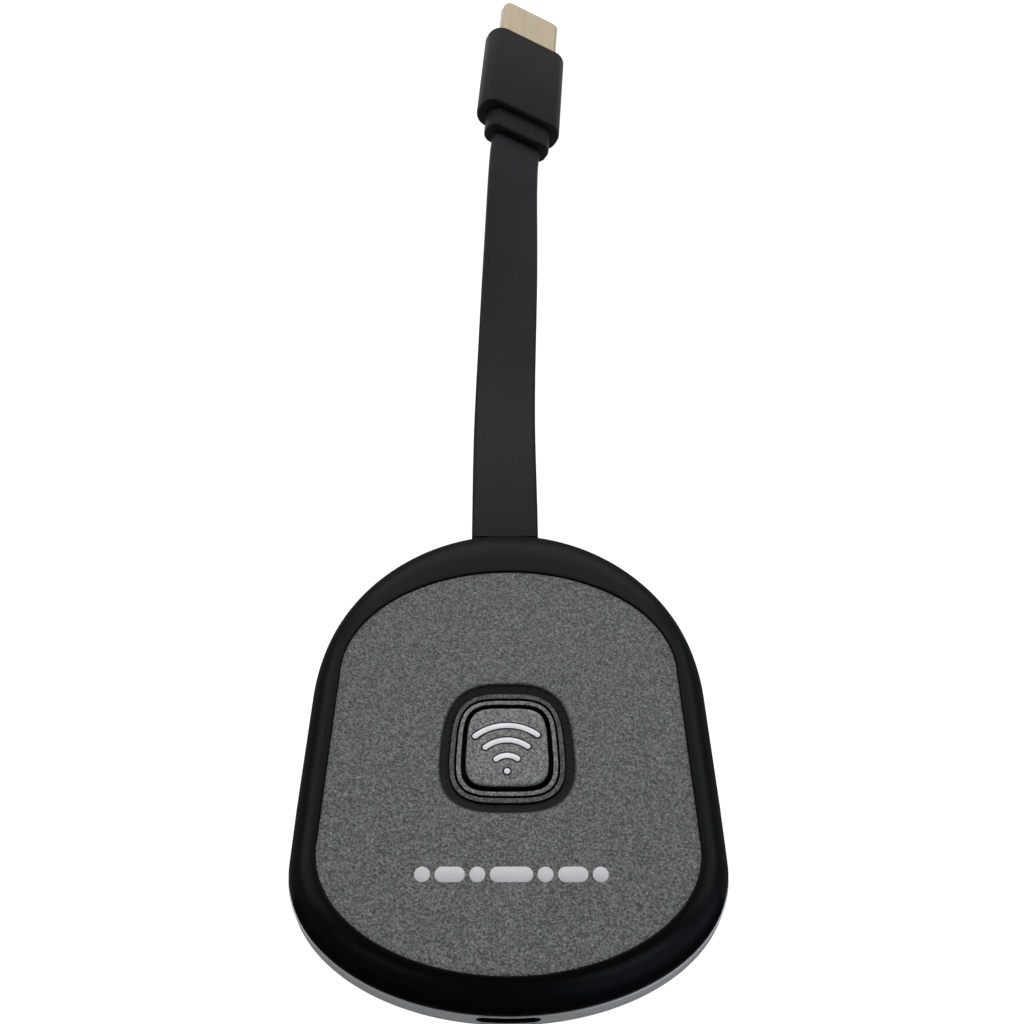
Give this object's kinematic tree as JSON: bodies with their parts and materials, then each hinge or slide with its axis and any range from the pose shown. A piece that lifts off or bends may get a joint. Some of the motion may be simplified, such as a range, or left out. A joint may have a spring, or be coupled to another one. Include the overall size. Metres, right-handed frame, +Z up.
{
  "type": "streaming media player",
  "caption": "Flat egg-shaped streaming player with a push button in its face, a small power socket and a flat video lead ending in a plug.",
  "frame": {"origin": "underside of the housing, at the middle of its bounding box", "axes": "+Z up out of the face with the button, +Y from the power socket towards the video lead, +X to the right seen from above"},
  "size_m": [0.0634, 0.2267, 0.0131],
  "materials": {
    "black_plastic": "smooth satin black",
    "silver_plastic": "silver-grey lacquer",
    "grained_grey": "fine spark-eroded grain",
    "satin_grey": "satin",
    "button_grey": "fine grain",
    "adhesive_film": "clear tacky film",
    "black_rubber": "matt",
    "label_film": "blank silver-grey film",
    "steel": "bright plated",
    "board_green": "solder mask",
    "chip_black": "moulded resin",
    "ivory_plastic": "unpainted nylon",
    "pad_grey": "soft silicone",
    "sink_aluminium": "extruded",
    "gold_plate": "thin pale gold plating on steel",
    "capacitor_tan": "fired ceramic",
    "lead_black": "smooth extruded sheath",
    "plug_black": "fine moulded grain"
  },
  "bodies": {
    "housing": {"upper_housing": "black_plastic", "lower_shell": "silver_plastic", "face_panel": "grained_grey", "panel_adhesive": "adhesive_film", "button_outer_ring": "grained_grey", "button_inner_ring": "satin_grey", "lead_gland": "black_rubber", "rating_label": "label_film", "housing_screw_1": "steel", "housing_screw_2": "steel", "housing_screw_3": "steel", "housing_screw_4": "steel", "circuit_board": "board_green", "switch_body": "chip_black", "main_processor": "chip_black", "thermal_pad": "pad_grey", "heat_sink": "sink_aluminium", "memory_chip": "chip_black", "flash_chip": "chip_black", "wifi_module_can": "steel", "wifi_antenna": "gold_plate", "crystal_can": "steel", "power_inductor": "chip_black", "voltage_regulator": "chip_black", "capacitor_1": "capacitor_tan", "capacitor_2": "capacitor_tan", "capacitor_3": "capacitor_tan", "status_led_1": "ivory_plastic", "status_led_2": "ivory_plastic", "lead_header": "ivory_plastic", "lead_inner_end": "lead_black", "usb_socket_shell": "steel", "usb_socket_tongue": "chip_black", "usb_socket_contacts": "gold_plate", "video_lead": "lead_black", "plug_neck": "plug_black", "plug_cover": "plug_black", "plug_shell": "gold_plate", "plug_insulator": "chip_black", "plug_contacts_upper": "gold_plate", "plug_contacts_lower": "gold_plate"},
    "button": {"button_cap": "button_grey"},
    "plunger": {"switch_plunger": "ivory_plastic"}
  },
  "joints": [
    {"name": "button_press", "type": "slide", "parent": "housing", "child": "button", "axis": [0, 0, -1], "range_m": [0, 0.0003], "stiffness_N_per_m": 600},
    {"name": "plunger_press", "type": "slide", "parent": "housing", "child": "plunger", "axis": [0, 0, -1], "range_m": [0, 0.0004]}
  ],
  "couplings": [
    {"joint": "plunger_press", "follows": "button_press", "ratio": 1}
  ]
}
